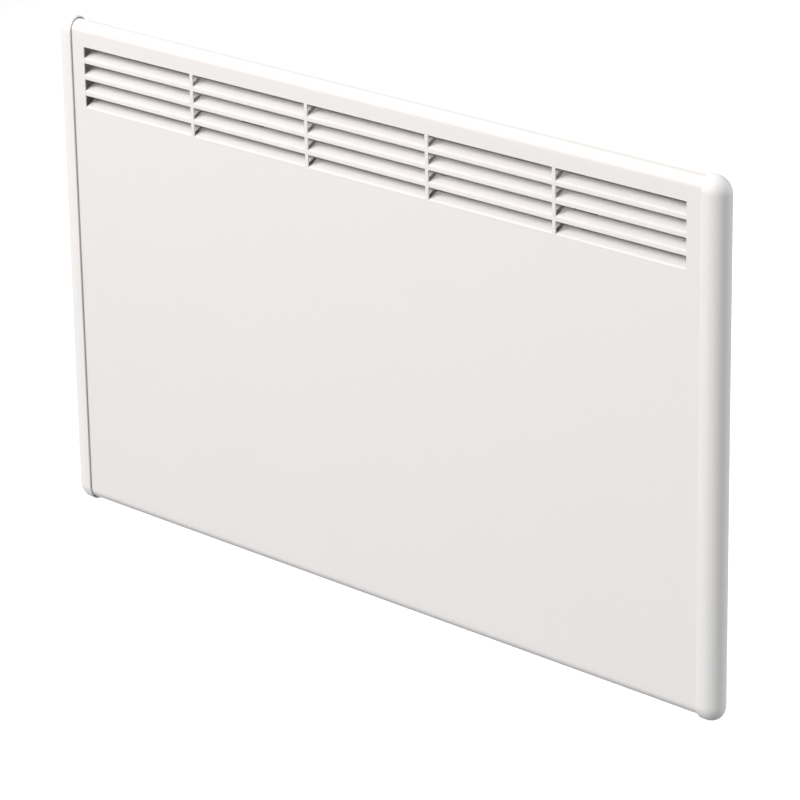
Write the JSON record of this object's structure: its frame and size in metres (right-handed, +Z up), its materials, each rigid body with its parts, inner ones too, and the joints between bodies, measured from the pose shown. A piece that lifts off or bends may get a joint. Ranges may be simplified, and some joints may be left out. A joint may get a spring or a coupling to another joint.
{
  "type": "wall panel convector heater",
  "caption": "Slim white wall-mounted electric convector heater with a louvred sheet-metal front, rounded end caps, a finned element, an underside control module and a wall bracket.",
  "frame": {"origin": "on the wall, at the middle of the back face of the upper bracket rail", "axes": "+X to the right as seen from the room, +Y back into the wall, +Z up"},
  "size_m": [0.674, 0.0815, 0.4038],
  "materials": {
    "panel_coat": "smooth satin powder coat, white",
    "casing_coat": "satin powder coat, white",
    "cap_plastic": "white moulded plastic, fine satin",
    "module_plastic": "white moulded plastic, matte",
    "black_plastic": "black moulded plastic, satin",
    "galvanised": "galvanised sheet steel",
    "element_aluminium": "extruded aluminium, matte",
    "plated_steel": "bright zinc-plated steel",
    "ceramic": "unglazed ceramic",
    "board": "green circuit board",
    "relay_blue": "blue relay case",
    "window_clear": "clear polished plastic",
    "lens_amber": "clear orange lens",
    "lead_brown": "brown lead insulation",
    "lead_blue": "blue lead insulation",
    "lead_black": "black lead insulation"
  },
  "bodies": {
    "heater": {"front_panel": "panel_coat", "rear_casing": "casing_coat", "left_end_cap": "cap_plastic", "right_end_cap": "cap_plastic", "casing_screw_1": "plated_steel", "casing_screw_2": "plated_steel", "casing_screw_3": "plated_steel", "casing_screw_4": "plated_steel", "casing_screw_5": "plated_steel", "casing_screw_6": "plated_steel", "casing_screw_7": "plated_steel", "casing_screw_8": "plated_steel", "module_screw_1": "plated_steel", "module_screw_2": "plated_steel", "left_element_terminal": "plated_steel", "right_element_terminal": "plated_steel", "heating_element": "element_aluminium", "left_element_hanger": "galvanised", "right_element_hanger": "galvanised", "cutout_clip": "galvanised", "upper_bracket_rail": "galvanised", "lower_bracket_rail": "galvanised", "left_bracket_upright": "galvanised", "right_bracket_upright": "galvanised", "left_element_bush": "ceramic", "right_element_bush": "ceramic", "module_housing": "module_plastic", "module_cover": "module_plastic", "terminal_block": "module_plastic", "overheat_cutout": "black_plastic", "projector_barrel": "black_plastic", "switch_frame": "black_plastic", "cable_gland": "black_plastic", "gland_nut": "black_plastic", "room_sensor": "black_plastic", "control_board": "board", "power_relay": "relay_blue", "projector_window": "window_clear", "projector_lens": "lens_amber", "mains_lead_live": "lead_brown", "cutout_lead": "lead_brown", "left_element_lead": "lead_brown", "mains_lead_neutral": "lead_blue", "right_element_lead": "lead_blue", "sensor_lead": "lead_black"},
    "rocker": {"switch_rocker": "black_plastic"},
    "minus_button": {"minus_button": "black_plastic"},
    "mode_button": {"mode_button": "black_plastic"},
    "plus_button": {"plus_button": "black_plastic"},
    "left_latch": {"left_bracket_latch": "black_plastic"},
    "right_latch": {"right_bracket_latch": "black_plastic"}
  },
  "joints": [
    {"name": "power_switch", "type": "hinge", "parent": "heater", "child": "rocker", "pos_m": [0.134, -0.046, -0.303], "axis": [0, 1, 0], "range_deg": [-20, 0]},
    {"name": "minus_button_press", "type": "slide", "parent": "heater", "child": "minus_button", "axis": [0, 0, 1], "range_m": [0, 0.0012], "stiffness_N_per_m": 600, "springref_m": -0.0008},
    {"name": "mode_button_press", "type": "slide", "parent": "heater", "child": "mode_button", "axis": [0, 0, 1], "range_m": [0, 0.0012], "stiffness_N_per_m": 600, "springref_m": -0.0008},
    {"name": "plus_button_press", "type": "slide", "parent": "heater", "child": "plus_button", "axis": [0, 0, 1], "range_m": [0, 0.0012], "stiffness_N_per_m": 600, "springref_m": -0.0008},
    {"name": "left_latch_slide", "type": "slide", "parent": "heater", "child": "left_latch", "axis": [0, 0, -1], "range_m": [0, 0.007]},
    {"name": "right_latch_slide", "type": "slide", "parent": "heater", "child": "right_latch", "axis": [0, 0, -1], "range_m": [0, 0.007]}
  ]
}
